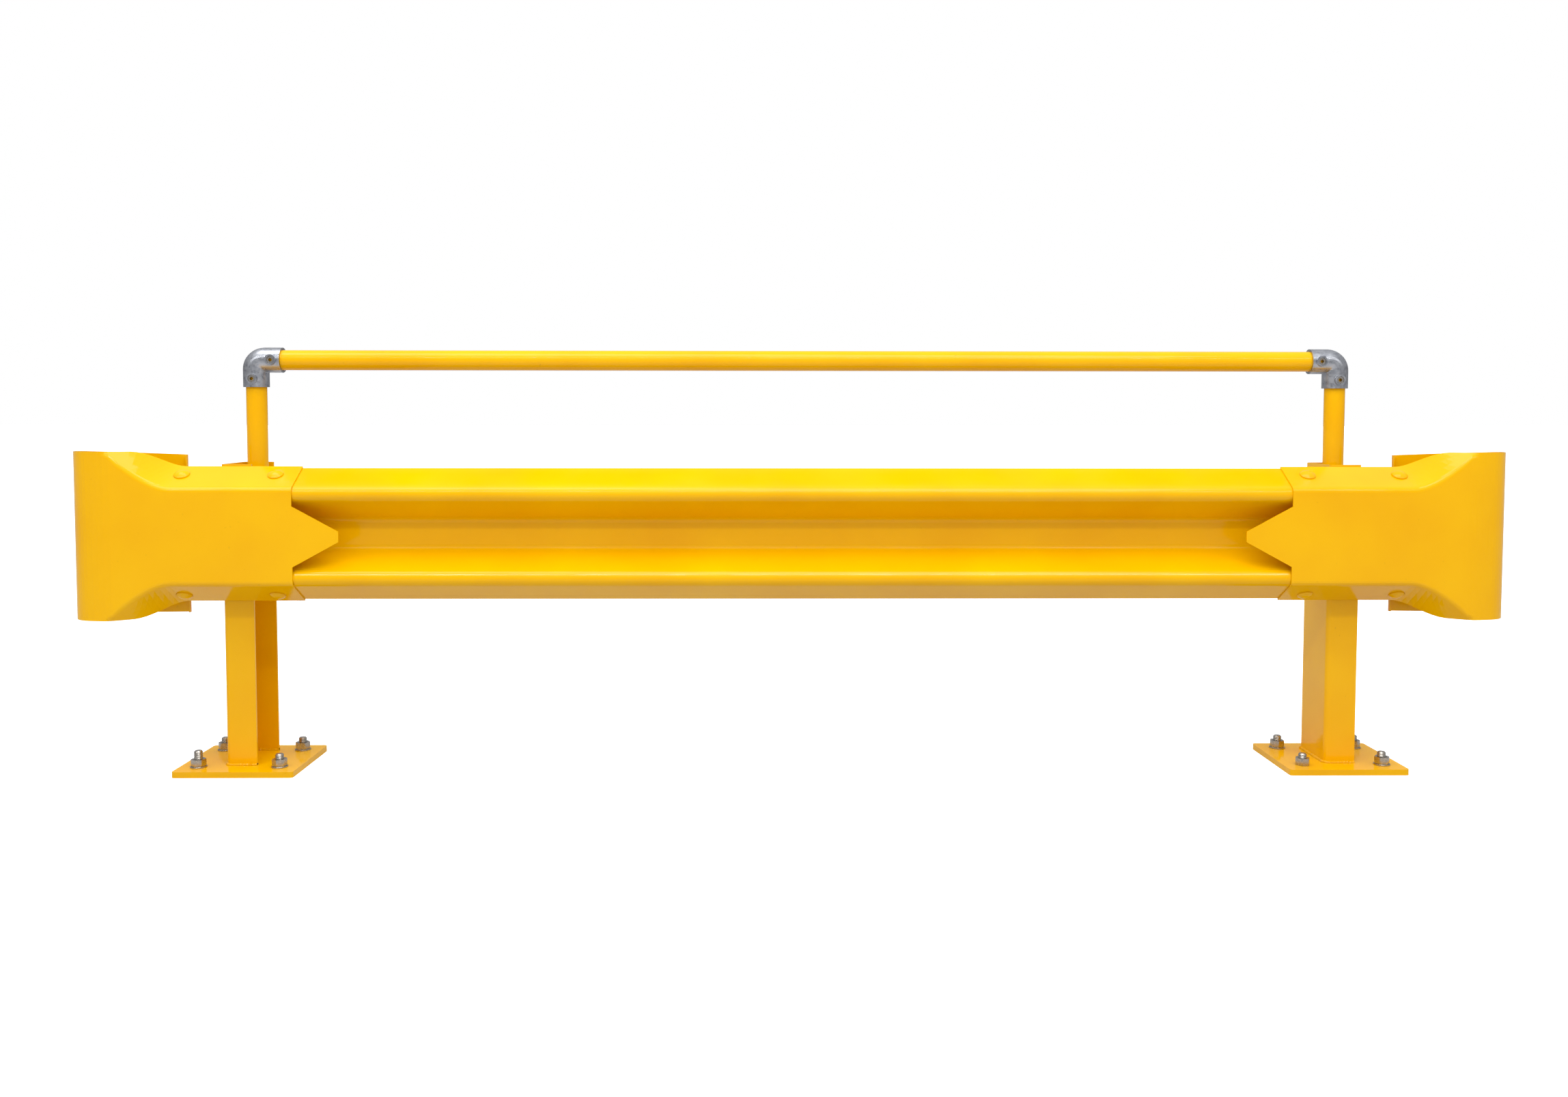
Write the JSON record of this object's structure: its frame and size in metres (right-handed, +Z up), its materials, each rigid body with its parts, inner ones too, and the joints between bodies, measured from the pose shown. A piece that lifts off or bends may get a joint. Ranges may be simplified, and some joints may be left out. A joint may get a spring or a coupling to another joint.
{
  "type": "industrial guardrail",
  "caption": "Yellow W-section steel guardrail bay on two plated channel posts, with wrap-round ends and a tube handrail.",
  "frame": {"origin": "centre of the overall box, at the underside of the base plates", "axes": "+X along the rail, +Z up, the rail's face looks to -Y"},
  "size_m": [3.34, 0.2782, 1.0052],
  "materials": {
    "yellow_paint": "gloss powder coat",
    "galvanised_casting": "hot-dip galvanised",
    "zinc_screw": "zinc plated"
  },
  "bodies": {
    "root": {"w_beam_rail": "yellow_paint", "handrail_tube": "yellow_paint", "left_base_plate": "yellow_paint", "left_post": "yellow_paint", "left_bullnose_end": "yellow_paint", "left_bullnose_bolts": "yellow_paint", "left_bullnose_nuts": "yellow_paint", "left_post_bolt": "yellow_paint", "left_post_nut": "yellow_paint", "left_handrail_socket": "yellow_paint", "left_upright_tube": "yellow_paint", "left_socket_screws": "zinc_screw", "left_elbow_screws": "zinc_screw", "left_elbow_fitting": "galvanised_casting", "right_base_plate": "yellow_paint", "right_post": "yellow_paint", "right_bullnose_end": "yellow_paint", "right_bullnose_bolts": "yellow_paint", "right_bullnose_nuts": "yellow_paint", "right_post_bolt": "yellow_paint", "right_post_nut": "yellow_paint", "right_handrail_socket": "yellow_paint", "right_upright_tube": "yellow_paint", "right_socket_screws": "zinc_screw", "right_elbow_screws": "zinc_screw", "right_elbow_fitting": "galvanised_casting"}
  },
  "joints": []
}
